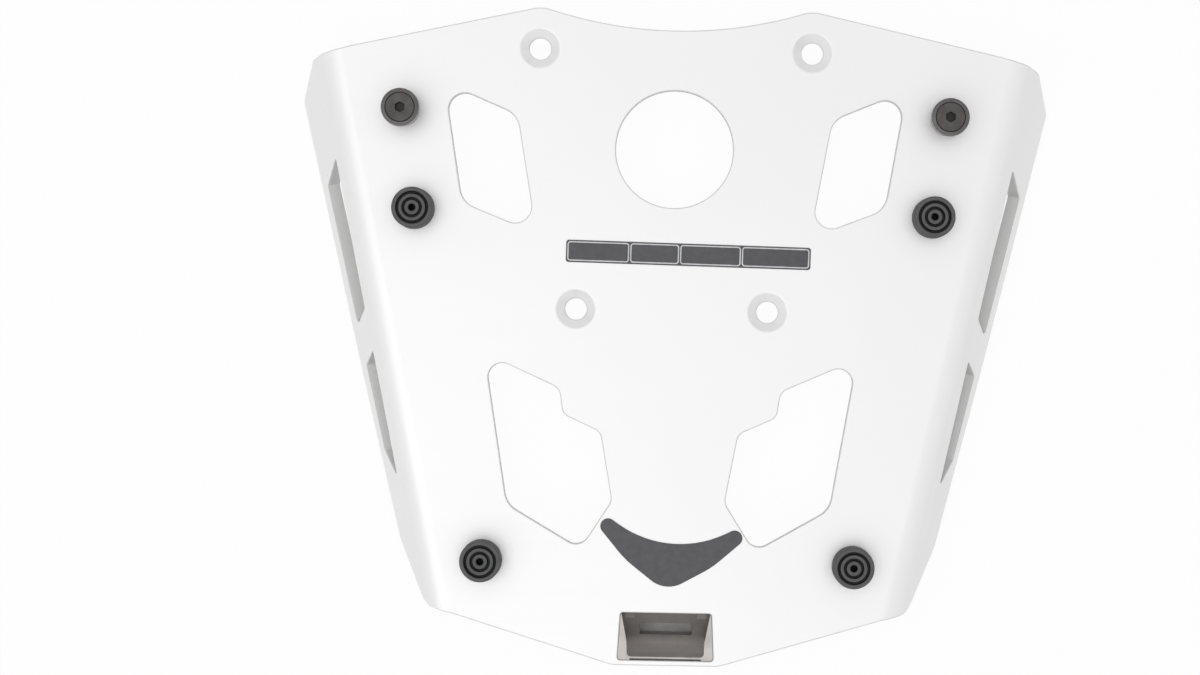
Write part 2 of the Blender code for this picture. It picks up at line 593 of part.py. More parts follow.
def main():
    clear_scene()
    parts = new_collection("top_case_rack")
    cutters = new_collection("cutters")
    materials = {
        "plate": new_material("anodised_aluminium", (0.80, 0.80, 0.79), 0.45, 0.6),
        "pin": new_material("black_pin", (0.03, 0.03, 0.03), 0.35, 0.8),
        "screw": new_material("blackened_screw", (0.025, 0.023, 0.023), 0.4, 0.8),
        "fixing": new_material("zinc_fixing", (0.55, 0.55, 0.55), 0.35, 0.9),
        "rubber": new_material("pad_rubber", (0.02, 0.02, 0.02), 0.7, 0.0),
        "catch": new_material("cast_catch", (0.32, 0.30, 0.29), 0.5, 0.3),
        "film": new_material("black_film", (0.035, 0.035, 0.04), 0.4, 0.0)}
    make_plate(parts, cutters, materials["plate"])
    for name, side in SIDES.items():
        make_pin(name, side * PIN_PLACE[0], parts, cutters, materials)
        for row, (x, y) in PAD_PLACES.items():
            make_pad(f"rubber_pad_{row}_{name}", side * x, y, parts, materials["rubber"])
    make_catch(parts, cutters, materials)
    make_films(parts, materials)


main()
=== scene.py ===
import math
import bpy
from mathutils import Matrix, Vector


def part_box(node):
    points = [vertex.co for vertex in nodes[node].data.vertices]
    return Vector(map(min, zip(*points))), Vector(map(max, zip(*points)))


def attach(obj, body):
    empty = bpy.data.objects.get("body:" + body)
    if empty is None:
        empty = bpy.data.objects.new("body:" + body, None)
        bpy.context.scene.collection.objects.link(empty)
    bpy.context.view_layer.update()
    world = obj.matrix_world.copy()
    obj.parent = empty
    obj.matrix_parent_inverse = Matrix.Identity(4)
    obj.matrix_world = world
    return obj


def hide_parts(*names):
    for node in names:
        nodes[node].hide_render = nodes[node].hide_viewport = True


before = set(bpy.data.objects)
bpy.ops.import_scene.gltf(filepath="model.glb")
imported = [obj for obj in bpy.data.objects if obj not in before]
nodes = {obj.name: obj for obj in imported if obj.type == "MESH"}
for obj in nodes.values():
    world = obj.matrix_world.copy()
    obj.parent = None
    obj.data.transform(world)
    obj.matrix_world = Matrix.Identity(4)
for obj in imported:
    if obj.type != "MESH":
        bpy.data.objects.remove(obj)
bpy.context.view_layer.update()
print("frame loaded with", len(nodes), "nodes")

sheetDepth = 0.005
fitGap = 0.0003             # between pieces that touch
mergeDistance = 0.000002    # points closer than this become one
flatAngle = 0.15            # degrees, between triangles of one flat face
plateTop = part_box("pin_washer_left")[1][2] + fitGap + sheetDepth
sides = ("left", "right")


# Operators act on all that is selected, so each step picks its own piece first
def pickOnly(piece):
    bpy.ops.object.select_all(action="DESELECT")
    piece.select_set(True)
    bpy.context.view_layer.objects.active = piece


# Selects the wanted vertices, edges or faces and enters edit mode
def openWith(piece, parts, wanted, mode):
    pickOnly(piece)
    bpy.ops.object.mode_set(mode="EDIT")
    bpy.ops.mesh.select_mode(type=mode)
    bpy.ops.mesh.select_all(action="DESELECT")
    bpy.ops.object.mode_set(mode="OBJECT")
    for part in parts:
        part.select = wanted(part)
    bpy.ops.object.mode_set(mode="EDIT")


def applyModifiers(piece):
    pickOnly(piece)
    for step in list(piece.modifiers):
        bpy.ops.object.modifier_apply(modifier=step.name)


def settle(piece):
    pickOnly(piece)
    bpy.ops.object.transform_apply(location=True, rotation=True, scale=True)
    return piece


def smooth(piece, degrees=32):
    pickOnly(piece)
    bpy.ops.object.shade_smooth_by_angle(angle=math.radians(degrees))
    step = piece.modifiers.new("flat faces stay flat", "WEIGHTED_NORMAL")
    step.keep_sharp = True
    applyModifiers(piece)


def breakEdges(piece, width, segments=2, degrees=25, clamp=False):
    step = piece.modifiers.new("edge break", "BEVEL")
    step.width = width
    step.segments = segments
    step.limit_method = "ANGLE"
    step.angle_limit = math.radians(degrees)
    step.use_clamp_overlap = clamp
    step.loop_slide = False
    step.miter_outer = "MITER_ARC"
    applyModifiers(piece)


def dress(piece, material, slotName, *standsFor):
    piece.data.materials.clear()
    piece.data.materials.append(material)
    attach(piece, "root")
    if standsFor:
        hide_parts(*standsFor)
    return piece


# A solid's own shape as a new piece: its loose triangles become whole faces
def solidCopy(nodeName, newName):
    piece = bpy.data.objects.new(newName, nodes[nodeName].data.copy())
    bpy.context.scene.collection.objects.link(piece)
    pickOnly(piece)
    bpy.ops.object.mode_set(mode="EDIT")
    bpy.ops.mesh.select_all(action="SELECT")
    bpy.ops.mesh.remove_doubles(threshold=mergeDistance)
    bpy.ops.mesh.dissolve_limited(angle_limit=math.radians(flatAngle))
    bpy.ops.object.mode_set(mode="OBJECT")
    return piece


# The same piece in another place, with its own mesh
def ownCopy(piece, newName, shift):
    double = piece.copy()
    double.data = piece.data.copy()
    double.name = newName
    double.location = shift
    bpy.context.scene.collection.objects.link(double)
    return settle(double)


# A turned piece: a ring of edges is drawn through (radius, height) points about an upright axis
def turnPiece(name, centre, profile, ringSides):
    bpy.ops.object.select_all(action="DESELECT")
    radius, height = profile[0]
    bpy.ops.mesh.primitive_circle_add(vertices=ringSides, radius=radius, fill_type="NOTHING",
                                      location=(centre[0], centre[1], height))
    piece = bpy.context.object
    piece.name = name
    bpy.ops.object.mode_set(mode="EDIT")
    bpy.ops.mesh.select_all(action="SELECT")
    for nextRadius, nextHeight in profile[1:]:
        bpy.ops.mesh.extrude_region_move(
            TRANSFORM_OT_translate={"value": (0.0, 0.0, nextHeight - height)})
        share = nextRadius / radius
        bpy.ops.transform.resize(value=(share, share, 1.0),
                                 center_override=(centre[0], centre[1], nextHeight))
        radius, height = nextRadius, nextHeight
    bpy.ops.mesh.select_all(action="SELECT")
    bpy.ops.mesh.remove_doubles(threshold=mergeDistance)
    bpy.ops.mesh.fill_holes(sides=0)
    bpy.ops.mesh.normals_make_consistent(inside=False)
    bpy.ops.object.mode_set(mode="OBJECT")
    return settle(piece)


def cutHexagon(piece, centre, width, top, depth):
    bpy.ops.object.select_all(action="DESELECT")
    cornerRadius = width / 2 / math.cos(math.pi / 6)
    bpy.ops.mesh.primitive_cylinder_add(vertices=6, radius=cornerRadius, depth=depth * 2,
                                        location=(centre[0], centre[1], top))
    key = bpy.context.object
    cut = piece.modifiers.new("key socket", "BOOLEAN")
    cut.object = key
    applyModifiers(piece)
    bpy.data.objects.remove(key)


# Rings of a thread are spaced so that each turn has several of them
def threadRings(radius, high, low, pitch, ringsPerTurn=8):
    count = int((high - low) / pitch * ringsPerTurn)
    return [(radius, high - (high - low) * k / count) for k in range(1, count + 1)]


# Moves the rings' points in along one helix, with a run-out at its upper end
def cutThread(piece, centre, radius, high, low, pitch, depth, reach=0.0001):
    for vertex in piece.data.vertices:
        out = Vector((vertex.co.x - centre[0], vertex.co.y - centre[1], 0.0))
        if abs(out.length - radius) > reach or not low <= vertex.co.z <= high:
            continue
        turn = vertex.co.z / pitch - math.atan2(out.y, out.x) / (2 * math.pi)
        valley = abs(2 * (turn % 1.0) - 1)
        fade = min(1.0, (high - vertex.co.z) / pitch)
        vertex.co -= out.normalized() * depth * valley * fade


noiseRange = (0.3, 0.7)      # where most of a noise's values lie
cloudShare = 0.12            # a cloud's scale as a share of the grain's
usualFinish = {"vary": 0.12, "glossSpread": 0.08}


def newMaterial(name, colour, roughness, metallic=0.0):
    material = bpy.data.materials.new(name)
    material.use_nodes = True
    shader = material.node_tree.nodes["Principled BSDF"]
    shader.inputs["Base Color"].default_value = (*colour, 1.0)
    shader.inputs["Roughness"].default_value = roughness
    shader.inputs["Metallic"].default_value = metallic
    return material, shader


def fineNoise(tree, scale, stretch=(1.0, 1.0, 1.0), detail=3.0):
    place = tree.nodes.new("ShaderNodeTexCoord")
    mapping = tree.nodes.new("ShaderNodeMapping")
    mapping.inputs["Scale"].default_value = stretch
    noise = tree.nodes.new("ShaderNodeTexNoise")
    noise.inputs["Scale"].default_value = scale
    noise.inputs["Detail"].default_value = detail
    tree.links.new(place.outputs["Object"], mapping.inputs["Vector"])
    tree.links.new(mapping.outputs["Vector"], noise.inputs["Vector"])
    return noise.outputs["Fac"]


# A noise value spread between two levels
def spread(tree, value, low, high):
    step = tree.nodes.new("ShaderNodeMapRange")
    step.inputs["From Min"].default_value = noiseRange[0]
    step.inputs["From Max"].default_value = noiseRange[1]
    step.inputs["To Min"].default_value = low
    step.inputs["To Max"].default_value = high
    tree.links.new(value, step.inputs["Value"])
    return step.outputs["Result"]


# 0 below one height, 1 above the other
def heightMask(tree, low, high):
    place = tree.nodes.new("ShaderNodeTexCoord")
    parts = tree.nodes.new("ShaderNodeSeparateXYZ")
    step = tree.nodes.new("ShaderNodeMapRange")
    step.inputs["From Min"].default_value = low
    step.inputs["From Max"].default_value = high
    tree.links.new(place.outputs["Object"], parts.inputs["Vector"])
    tree.links.new(parts.outputs["Z"], step.inputs["Value"])
    return step.outputs["Result"]


def colourBetween(tree, value, first, second):
    step = tree.nodes.new("ShaderNodeMix")
    step.data_type = "RGBA"
    for socket, colour in (("A", first), ("B", second)):
        if isinstance(colour, tuple):
            step.inputs[socket].default_value = (*colour, 1.0)
        else:
            tree.links.new(colour, step.inputs[socket])
    tree.links.new(value, step.inputs["Factor"])
    return step.outputs["Result"]


def addBump(tree, shader, value, distance, strength=1.0):
    step = tree.nodes.new("ShaderNodeBump")
    step.inputs["Distance"].default_value = distance
    step.inputs["Strength"].default_value = strength
    tree.links.new(value, step.inputs["Height"])
    tree.links.new(step.outputs["Normal"], shader.inputs["Normal"])


def shaded(colour, share):
    return tuple(min(1.0, part * share) for part in colour)


# Sheet finish: satin anodised aluminium with a faint grain across the rack
sheetFinish = {
    "light": (0.925, 0.917, 0.920), "dark": (0.908, 0.900, 0.903),
    "roughness": (0.38, 0.46), "metallic": 0.55,
    "cloudScale": 9.0,
    "grainScale": 260.0, "grainStretch": (0.04, 5.0, 5.0), "grainDepth": 0.000004,
}


def makeSheetFinish():
    values = sheetFinish
    material, shader = newMaterial("satinAnodisedSheet", values["light"],
                                   values["roughness"][0], values["metallic"])
    tree = material.node_tree
    cloud = spread(tree, fineNoise(tree, values["cloudScale"]), 0.0, 1.0)
    grain = fineNoise(tree, values["grainScale"], values["grainStretch"])
    paint = colourBetween(tree, cloud, values["light"], values["dark"])
    tree.links.new(paint, shader.inputs["Base Color"])
    tree.links.new(spread(tree, grain, *values["roughness"]), shader.inputs["Roughness"])
    addBump(tree, shader, grain, values["grainDepth"])
    return material


# A finish with cloudy colour, uneven gloss and a fine grain; its low colour lower down is painted
# light and shade
def makeFinish(name, ownValues):
    values = {**usualFinish, **ownValues}
    colour, vary, gloss = values["colour"], values["vary"], values["glossSpread"]
    material, shader = newMaterial(name, colour, values["roughness"], values["metallic"])
    tree = material.node_tree
    cloud = spread(tree, fineNoise(tree, values["scale"] * cloudShare), 0.0, 1.0)
    paint = colourBetween(tree, cloud, shaded(colour, 1 - vary), shaded(colour, 1 + vary))
    # Painted light and shade: lower down, the colour turns to the finish's low colour
    if "paintedLightLow" in values:
        paintedLightMask = heightMask(tree, *values["paintedLightLowHeights"])
        paint = colourBetween(tree, paintedLightMask, values["paintedLightLow"], paint)
    grain = fineNoise(tree, values["scale"])
    tree.links.new(paint, shader.inputs["Base Color"])
    tree.links.new(spread(tree, grain, values["roughness"] - gloss, values["roughness"] + gloss),
                   shader.inputs["Roughness"])
    addBump(tree, shader, grain, values["grainDepth"])
    return material


plainFinishes = {
    # painted shade: the cut walls are darker than the sheet, and darker still lower down in the
    # flanges
    "cutEdgePaintedShade": {"colour": (0.75, 0.745, 0.74), "roughness": 0.50, "metallic": 0.2, "vary": 0.04,
                "scale": 1500.0, "grainDepth": 0.000006, "paintedLightLow": (0.61, 0.61, 0.605),
                "paintedLightLowHeights": (plateTop - 0.012, plateTop - 0.008)},
    "countersink": {"colour": (0.95, 0.945, 0.945), "roughness": 0.40, "metallic": 0.3,
                    "vary": 0.03, "scale": 1500.0, "grainDepth": 0.000006},
    "pin": {"colour": (0.115, 0.110, 0.110), "roughness": 0.30, "metallic": 0.7,
            "scale": 2500.0, "grainDepth": 0.000008},
    # painted shade: the screw turns near black lower down, in its hexagon socket and below
    "screw": {"colour": (0.086, 0.079, 0.078), "roughness": 0.42, "metallic": 0.7, "vary": 0.2,
              "scale": 2500.0, "grainDepth": 0.00001, "paintedLightLow": (0.028, 0.025, 0.025),
              "paintedLightLowHeights": (plateTop + 0.0132, plateTop + 0.0156)},
    "fixing": {"colour": (0.62, 0.62, 0.61), "roughness": 0.34, "metallic": 1.0,
               "scale": 1800.0, "grainDepth": 0.000006},
    # painted shade: the rubber turns near black lower down, in the grooves and down its sides
    "rubber": {"colour": (0.094, 0.094, 0.097), "roughness": 0.62, "metallic": 0.0,
               "scale": 1600.0, "grainDepth": 0.00003, "paintedLightLow": (0.012, 0.012, 0.013),
               "paintedLightLowHeights": (plateTop + 0.0112, plateTop + 0.0124)},
    # painted light: the catch is lighter lower down, on its rear wall
    "catch": {"colour": (0.55, 0.525, 0.51), "roughness": 0.5, "metallic": 0.35,
              "scale": 900.0, "grainDepth": 0.00008, "paintedLightLow": (0.70, 0.67, 0.65),
              "paintedLightLowHeights": (plateTop - 0.009, plateTop - 0.002)},
    # painted shade on the ramp, and painted light lower down in the slot
    "catchHollowShadeAndLight": {"colour": (0.25, 0.235, 0.225), "roughness": 0.55, "metallic": 0.3,
                    "scale": 900.0, "grainDepth": 0.00008, "paintedLightLow": (0.46, 0.44, 0.44),
                    "paintedLightLowHeights": (plateTop - 0.0185, plateTop - 0.0155)},
    # painted light: the slot floor is lighter than its walls
    "catchFloorPaintedLight": {"colour": (0.64, 0.61, 0.61), "roughness": 0.60, "metallic": 0.0, "vary": 0.25,
                   "scale": 900.0, "grainDepth": 0.00008},
    "film": {"colour": (0.085, 0.085, 0.093), "roughness": 0.38, "metallic": 0.0,
             "scale": 3000.0, "grainDepth": 0.000004},
    "ink": {"colour": (0.72, 0.72, 0.73), "roughness": 0.45, "metallic": 0.0,
            "scale": 3000.0, "grainDepth": 0.000004},
}
finishes = {name: makeFinish(name + "Finish", values) for name, values in plainFinishes.items()}
finishes["sheet"] = makeSheetFinish()
print("finishes made")


# The folded sheet, and where its two folds lie
sheet = {
    "edgeBreak": 0.00045, "segments": 2,
    "foldStart": 0.1142, "foldLean": 12.0, "foldAngle": 65.0, "foldRadius": 0.011,
    "boltHoles": ((0.0580, 0.12235), (0.0408, 0.01165)), "sinkRadii": (0.0050, 0.0083),
    "slotReach": (-0.037, 0.098), "slotFloor": 0.0170, "slotTaper": 0.065, "slotCatch": 0.0020,
    "slotLean": 0.0013, "flatLimit": 0.97,
}


# Where a point near a flange lies: along the fold, down the flange, and under its outer face
def onFlange(point):
    lean, bend = math.radians(sheet["foldLean"]), math.radians(sheet["foldAngle"])
    across = abs(point.x) * math.cos(lean) - point.y * math.sin(lean) - sheet["foldStart"]
    height = point.z - plateTop + sheet["foldRadius"]
    along = abs(point.x) * math.sin(lean) + point.y * math.cos(lean)
    down = across * math.cos(bend) - height * math.sin(bend)
    under = sheet["foldRadius"] - across * math.sin(bend) - height * math.cos(bend)
    return along, down, under


# The slots were cut from outside, so their lower walls lean up towards the inner face
def leanSlotWalls(piece):
    reach, low, taper = sheet["slotReach"], sheet["slotFloor"], sheet["slotTaper"]
    lean, bend = math.radians(sheet["foldLean"]), math.radians(sheet["foldAngle"])
    for side in (-1, 1):
        def isInnerFloor(vertex):
            along, down, under = onFlange(vertex.co)
            atFloor = abs(down - low - taper * along) < sheet["slotCatch"]
            onSide = vertex.co.x * side > 0 and abs(under - sheetDepth) < fitGap
            return onSide and atFloor and reach[0] < along < reach[1]

        openWith(piece, piece.data.vertices, isInnerFloor, "VERT")
        rise, inward = sheet["slotLean"] * math.sin(bend), sheet["slotLean"] * math.cos(bend)
        bpy.ops.transform.translate(value=(-side * inward * math.cos(lean),
                                           inward * math.sin(lean), rise))
        bpy.ops.object.mode_set(mode="OBJECT")


# The way that the sheet's upper face looks beside some point of it
def sheetNormal(point):
    lean = math.radians(sheet["foldLean"])
    across = Vector((math.copysign(math.cos(lean), point.x), -math.sin(lean), 0.0))
    past = point.dot(across) - sheet["foldStart"]
    turn = math.atan2(past, point.z - plateTop + sheet["foldRadius"])
    turn = max(0.0, min(math.radians(sheet["foldAngle"]), turn)) if past > 0 else 0.0
    return across * math.sin(turn) + Vector((0.0, 0.0, math.cos(turn)))


def inCountersink(point):
    low, high = sheet["sinkRadii"]
    return any(low < math.hypot(abs(point.x) - x, point.y - y) < high
               for x, y in sheet["boltHoles"])


def makeSheet():
    piece = solidCopy("rack_plate", "sheetPlate")
    leanSlotWalls(piece)
    breakEdges(piece, sheet["edgeBreak"], sheet["segments"])
    smooth(piece)
    dress(piece, finishes["sheet"], "plate", "rack_plate")
    # Cut walls get a darker finish as painted shade; the countersinks get their own finish
    piece.data.materials.append(finishes["cutEdgePaintedShade"])
    piece.data.materials.append(finishes["countersink"])
    for face in piece.data.polygons:
        if abs(face.normal.dot(sheetNormal(face.center))) < sheet["flatLimit"]:
            face.material_index = 2 if inCountersink(face.center) else 1
    return piece


makeSheet()
print("sheet made")


# Case pins: a mushroom head on a neck and a foot, with a seat for the screw
casePin = {
    "ringSides": 96, "edge": 0.0007, "segments": 4,
    "headDepth": 0.0045, "crown": 0.0003, "neckRadius": 0.0050, "footRadius": 0.0070,
    "footDepth": 0.0030, "boreRadius": 0.0032, "seatRadius": 0.0063, "rim": 0.0003,
    "neckIn": 0.0006, "neckDown": 0.0012,
}


def nodeAxis(nodeName):
    low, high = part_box(nodeName)
    return ((low[0] + high[0]) / 2, (low[1] + high[1]) / 2)


def makePins():
    values = casePin
    centre = nodeAxis("case_pin_left")
    low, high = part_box("case_pin_left")
    radius = (high[0] - low[0]) / 2
    top, foot = high[2], low[2]
    under = top - values["headDepth"]
    seat, bore = values["seatRadius"], values["boreRadius"]
    profile = [(seat, top), (radius, top - values["crown"]), (radius, under),
               (radius - values["neckIn"], under),
               (values["neckRadius"], under - values["neckDown"]),
               (values["neckRadius"], foot + values["footDepth"]),
               (values["footRadius"], foot + values["footDepth"]), (values["footRadius"], foot),
               (bore, foot), (bore, top - values["rim"] - seat + bore),
               (seat, top - values["rim"]), (seat, top)]
    pin = turnPiece("casePinLeft", centre, profile, values["ringSides"])
    breakEdges(pin, values["edge"], values["segments"], degrees=35, clamp=True)
    smooth(pin)
    shift = (nodeAxis("case_pin_right")[0] - centre[0], 0.0, 0.0)
    other = ownCopy(pin, "casePinRight", shift)
    dress(pin, finishes["pin"], "pin", "case_pin_left")
    dress(other, finishes["pin"], "pin", "case_pin_right")


# Their screws: countersunk, with a hexagon socket and a rolled thread
pinScrew = {
    "ringSides": 96, "headRadius": 0.0060, "rim": 0.0003, "radius": 0.0029, "edge": 0.00018,
    "keyWidth": 0.004, "keyDepth": 0.0026, "thread": 0.020, "pitch": 0.001, "threadDepth": 0.00045,
}


def makePinScrews():
    values = pinScrew
    centre = nodeAxis("pin_screw_left")
    low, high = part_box("pin_screw_left")
    top, tip = high[2], low[2]
    head, radius = values["headRadius"], values["radius"]
    threadTop = tip + values["thread"]
    profile = [(head, top), (head, top - values["rim"]),
               (radius, top - values["rim"] - head + radius), (radius, threadTop)]
    profile += threadRings(radius, threadTop, tip + values["pitch"] / 2, values["pitch"])
    profile += [(radius - values["pitch"] / 2, tip)]
    screw = turnPiece("pinScrewLeft", centre, profile, values["ringSides"])
    cutHexagon(screw, centre, values["keyWidth"], top, values["keyDepth"])
    breakEdges(screw, values["edge"], degrees=40, clamp=True)
    cutThread(screw, centre, radius, threadTop, tip, values["pitch"], values["threadDepth"])
    smooth(screw, degrees=40)
    shift = (nodeAxis("pin_screw_right")[0] - centre[0], 0.0, 0.0)
    other = ownCopy(screw, "pinScrewRight", shift)
    dress(screw, finishes["screw"], "screw", "pin_screw_left")
    dress(other, finishes["screw"], "screw", "pin_screw_right")


# Washers and nuts keep their solids' form, with broken edges
fixing = {"edge": 0.00015, "segments": 2}


def makeFixings():
    for nodeName, newName in (("pin_washer", "pinWasher"), ("pin_nut", "pinNut"),
                              ("catch_nut", "catchNut")):
        for side in sides:
            piece = solidCopy(f"{nodeName}_{side}", newName + side.capitalize())
            breakEdges(piece, fixing["edge"], fixing["segments"], degrees=20, clamp=True)
            smooth(piece, degrees=30)
            dress(piece, finishes["fixing"], "fixing", f"{nodeName}_{side}")


# Studs that hold the catch: a head in the sheet and a thread below it
catchStud = {
    "ringSides": 64, "headRadius": 0.0034, "headDepth": 0.0018, "radius": 0.0019,
    "pitch": 0.0007, "threadDepth": 0.0003, "edge": 0.00012,
}


def makeStuds():
    values = catchStud
    centre = nodeAxis("catch_stud_left")
    low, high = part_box("catch_stud_left")
    neck = high[2] - values["headDepth"]
    radius = values["radius"]
    profile = [(values["headRadius"], high[2]), (values["headRadius"], neck), (radius, neck)]
    profile += threadRings(radius, neck, low[2] + values["pitch"] / 2, values["pitch"])
    profile += [(radius - values["pitch"] / 2, low[2])]
    stud = turnPiece("catchStudLeft", centre, profile, values["ringSides"])
    cutThread(stud, centre, radius, neck, low[2], values["pitch"], values["threadDepth"])
    smooth(stud, degrees=40)
    shift = (nodeAxis("catch_stud_right")[0] - centre[0], 0.0, 0.0)
    other = ownCopy(stud, "catchStudRight", shift)
    dress(stud, finishes["fixing"], "fixing", "catch_stud_left")
    dress(other, finishes["fixing"], "fixing", "catch_stud_right")


makePins()
makePinScrews()
makeFixings()
makeStuds()
print("pins and fixings made")


# Rubber pads: two round grooves and a bore in the top, a stem and a barb under the sheet
pad = {
    "ringSides": 96, "edge": 0.00022, "segments": 3, "rimEdge": 0.0005, "boreRadius": 0.0015,
    "boreDepth": 0.0080, "boreEdge": 0.0004, "grooves": (0.0037, 0.00632), "grooveWidth": 0.0013,
    "grooveDepth": 0.0025, "grooveSlope": 0.0002, "draft": 0.0001, "stemRadius": 0.0047,
    "barbRadius": 0.0066, "barbRim": 0.0010,
}


def makePads():
    values = pad
    first = "rubber_pad_front_left"
    centre = nodeAxis(first)
    low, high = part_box(first)
    top, tip = high[2], low[2]
    base = plateTop + fitGap
    barbTop = plateTop - sheetDepth - fitGap
    radius = (high[0] - low[0]) / 2 - values["draft"]
    floor = top - values["grooveDepth"]
    half, slope = values["grooveWidth"] / 2, values["grooveSlope"]
    profile = [(values["boreRadius"], top - values["boreDepth"]),
               (values["boreRadius"], top - values["boreEdge"]),
               (values["boreRadius"] + values["boreEdge"], top)]
    for groove in values["grooves"]:
        profile += [(groove - half, top), (groove - half + slope, floor),
                    (groove + half - slope, floor), (groove + half, top)]
    profile += [(radius - values["rimEdge"], top), (radius, top - values["rimEdge"]),
                (radius + values["draft"], base), (values["stemRadius"], base),
                (values["stemRadius"], barbTop), (values["barbRadius"], barbTop),
                (values["barbRadius"], barbTop - values["barbRim"]),
                (values["stemRadius"] - values["rimEdge"], tip)]
    piece = turnPiece("padFrontLeft", centre, profile, values["ringSides"])
    breakEdges(piece, values["edge"], values["segments"], degrees=20, clamp=True)
    smooth(piece, degrees=40)
    for row in ("front", "rear"):
        for side in sides:
            nodeName = f"rubber_pad_{row}_{side}"
            place = nodeAxis(nodeName)
            shift = (place[0] - centre[0], place[1] - centre[1], 0.0)
            double = piece if nodeName == first else ownCopy(
                piece, "pad" + row.capitalize() + side.capitalize(), shift)
            dress(double, finishes["rubber"], "rubber", nodeName)


makePads()
print("pads made")


# The cast catch: it fits the opening closely, over skirts that close the gap from below.
# A skirt is given as x, y, how far it lies under the sheet, and its size.
catch = {
    "edge": 0.00018, "segments": 3, "middle": (0.0, -0.1273), "swell": (1.010, 1.018, 1.0),
    "uprightLimit": 0.2, "levelLimit": 0.9, "skirtCorner": 0.0008,
    "skirts": ((0.0, -0.13690, 0.00005, (0.0430, 0.0040, 0.0030)),
               (-0.01945, -0.13625, 0.00010, (0.0043, 0.0055, 0.0028)),
               (0.01945, -0.13625, 0.00010, (0.0043, 0.0055, 0.0028))),
    "hollowHalf": 0.0186, "hollowRear": -0.1295, "hollowTop": 0.0020, "hollowLow": 0.0050,
    "floorDown": 0.0250,
}


def addSkirts(piece):
    for x, y, drop, size in catch["skirts"]:
        top = plateTop - sheetDepth - fitGap - drop
        bpy.ops.object.select_all(action="DESELECT")
        bpy.ops.mesh.primitive_cube_add(size=1.0, location=(x, y, top - size[2] / 2))
        skirt = bpy.context.object
        skirt.scale = size
        settle(skirt)
        breakEdges(skirt, catch["skirtCorner"], catch["segments"])
        join = piece.modifiers.new("skirt under the sheet", "BOOLEAN")
        join.operation = "UNION"
        join.object = skirt
        applyModifiers(piece)
        bpy.data.objects.remove(skirt)


def makeCatch():
    piece = solidCopy("catch_housing", "catchHousing")
    points = piece.data.vertices
    midX, midY = catch["middle"]

    def isOuterWall(face):
        normal, place = face.normal, face.center
        outward = normal.x * (place.x - midX) + normal.y * (place.y - midY)
        reachesTop = max(points[index].co.z for index in face.vertices) > plateTop - fitGap
        return abs(normal.z) < catch["uprightLimit"] and outward > 0 and reachesTop

    openWith(piece, piece.data.polygons, isOuterWall, "FACE")
    bpy.ops.transform.resize(value=catch["swell"], center_override=(midX, midY, 0.0))
    bpy.ops.object.mode_set(mode="OBJECT")
    addSkirts(piece)
    breakEdges(piece, catch["edge"], catch["segments"], degrees=30, clamp=True)
    smooth(piece, degrees=40)
    dress(piece, finishes["catch"], "catch", "catch_housing")
    # Ramp and slot faces get painted shade, and the slot floor gets painted light
    piece.data.materials.append(finishes["catchHollowShadeAndLight"])
    piece.data.materials.append(finishes["catchFloorPaintedLight"])
    for face in piece.data.polygons:
        place = face.center
        rampOrSlot = abs(place.x) < catch["hollowHalf"] and place.y > catch["hollowRear"]
        if rampOrSlot and catch["hollowLow"] < place.z < plateTop - catch["hollowTop"]:
            isLevel = face.normal.z > catch["levelLimit"]
            atFloor = isLevel and place.z < plateTop - catch["floorDown"]
            face.material_index = 2 if atFloor else 1    # painted light: the slot floor is lighter than its walls
    return piece


makeCatch()
print("catch made")


# Films: a bare crescent, and a strip with four outlined fields
film = {
    "edge": 0.00012, "segments": 2,
    "turn": -0.9, "strip": (0.1042, 0.0095), "margin": 0.0006, "gap": 0.0005,
    "fieldShares": (26.5, 20.9, 26.0, 28.9), "fieldCorner": 0.0013, "cornerSegments": 6,
    "lineWidth": 0.0005, "lineHeight": 0.00003,
}


# One field's outline: a raised line round a rounded rectangle
def makeField(name, centreX, width, height, top):
    bpy.ops.object.select_all(action="DESELECT")
    bpy.ops.mesh.primitive_plane_add(size=1.0, location=(centreX, 0.0, 0.0))
    piece = bpy.context.object
    piece.name = name
    piece.scale = (width, height, 1.0)
    settle(piece)
    bpy.ops.object.mode_set(mode="EDIT")
    bpy.ops.mesh.select_all(action="SELECT")
    bpy.ops.mesh.bevel(offset=film["fieldCorner"], segments=film["cornerSegments"],
                       affect="VERTICES")
    bpy.ops.mesh.select_all(action="SELECT")
    bpy.ops.mesh.inset(thickness=film["lineWidth"])
    bpy.ops.mesh.delete(type="FACE")
    bpy.ops.mesh.select_all(action="SELECT")
    bpy.ops.mesh.extrude_region_move(
        TRANSFORM_OT_translate={"value": (0.0, 0.0, film["lineHeight"])})
    bpy.ops.mesh.select_all(action="SELECT")
    bpy.ops.mesh.normals_make_consistent(inside=False)
    bpy.ops.object.mode_set(mode="OBJECT")
    place = nodeAxis("label_strip")
    piece.rotation_euler = (0.0, 0.0, math.radians(film["turn"]))
    piece.location = (place[0], place[1], top)
    settle(piece)
    smooth(piece, degrees=30)
    return dress(piece, finishes["ink"], "film")


def makeFilms():
    for nodeName, newName in (("badge", "crescentFilm"), ("label_strip", "stripFilm")):
        piece = solidCopy(nodeName, newName)
        breakEdges(piece, film["edge"], film["segments"], degrees=30, clamp=True)
        smooth(piece, degrees=30)
        dress(piece, finishes["film"], "film", nodeName)
    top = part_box("label_strip")[1][2]
    gaps = (len(film["fieldShares"]) - 1) * film["gap"]
    length = film["strip"][0] - 2 * film["margin"] - gaps
    height = film["strip"][1] - 2 * film["margin"]
    start = -film["strip"][0] / 2 + film["margin"]
    for number, share in enumerate(film["fieldShares"], 1):
        width = length * share / sum(film["fieldShares"])
        makeField(f"stripField{number}", start + width / 2, width, height, top)
        start += width + film["gap"]


makeFilms()
print("films made")


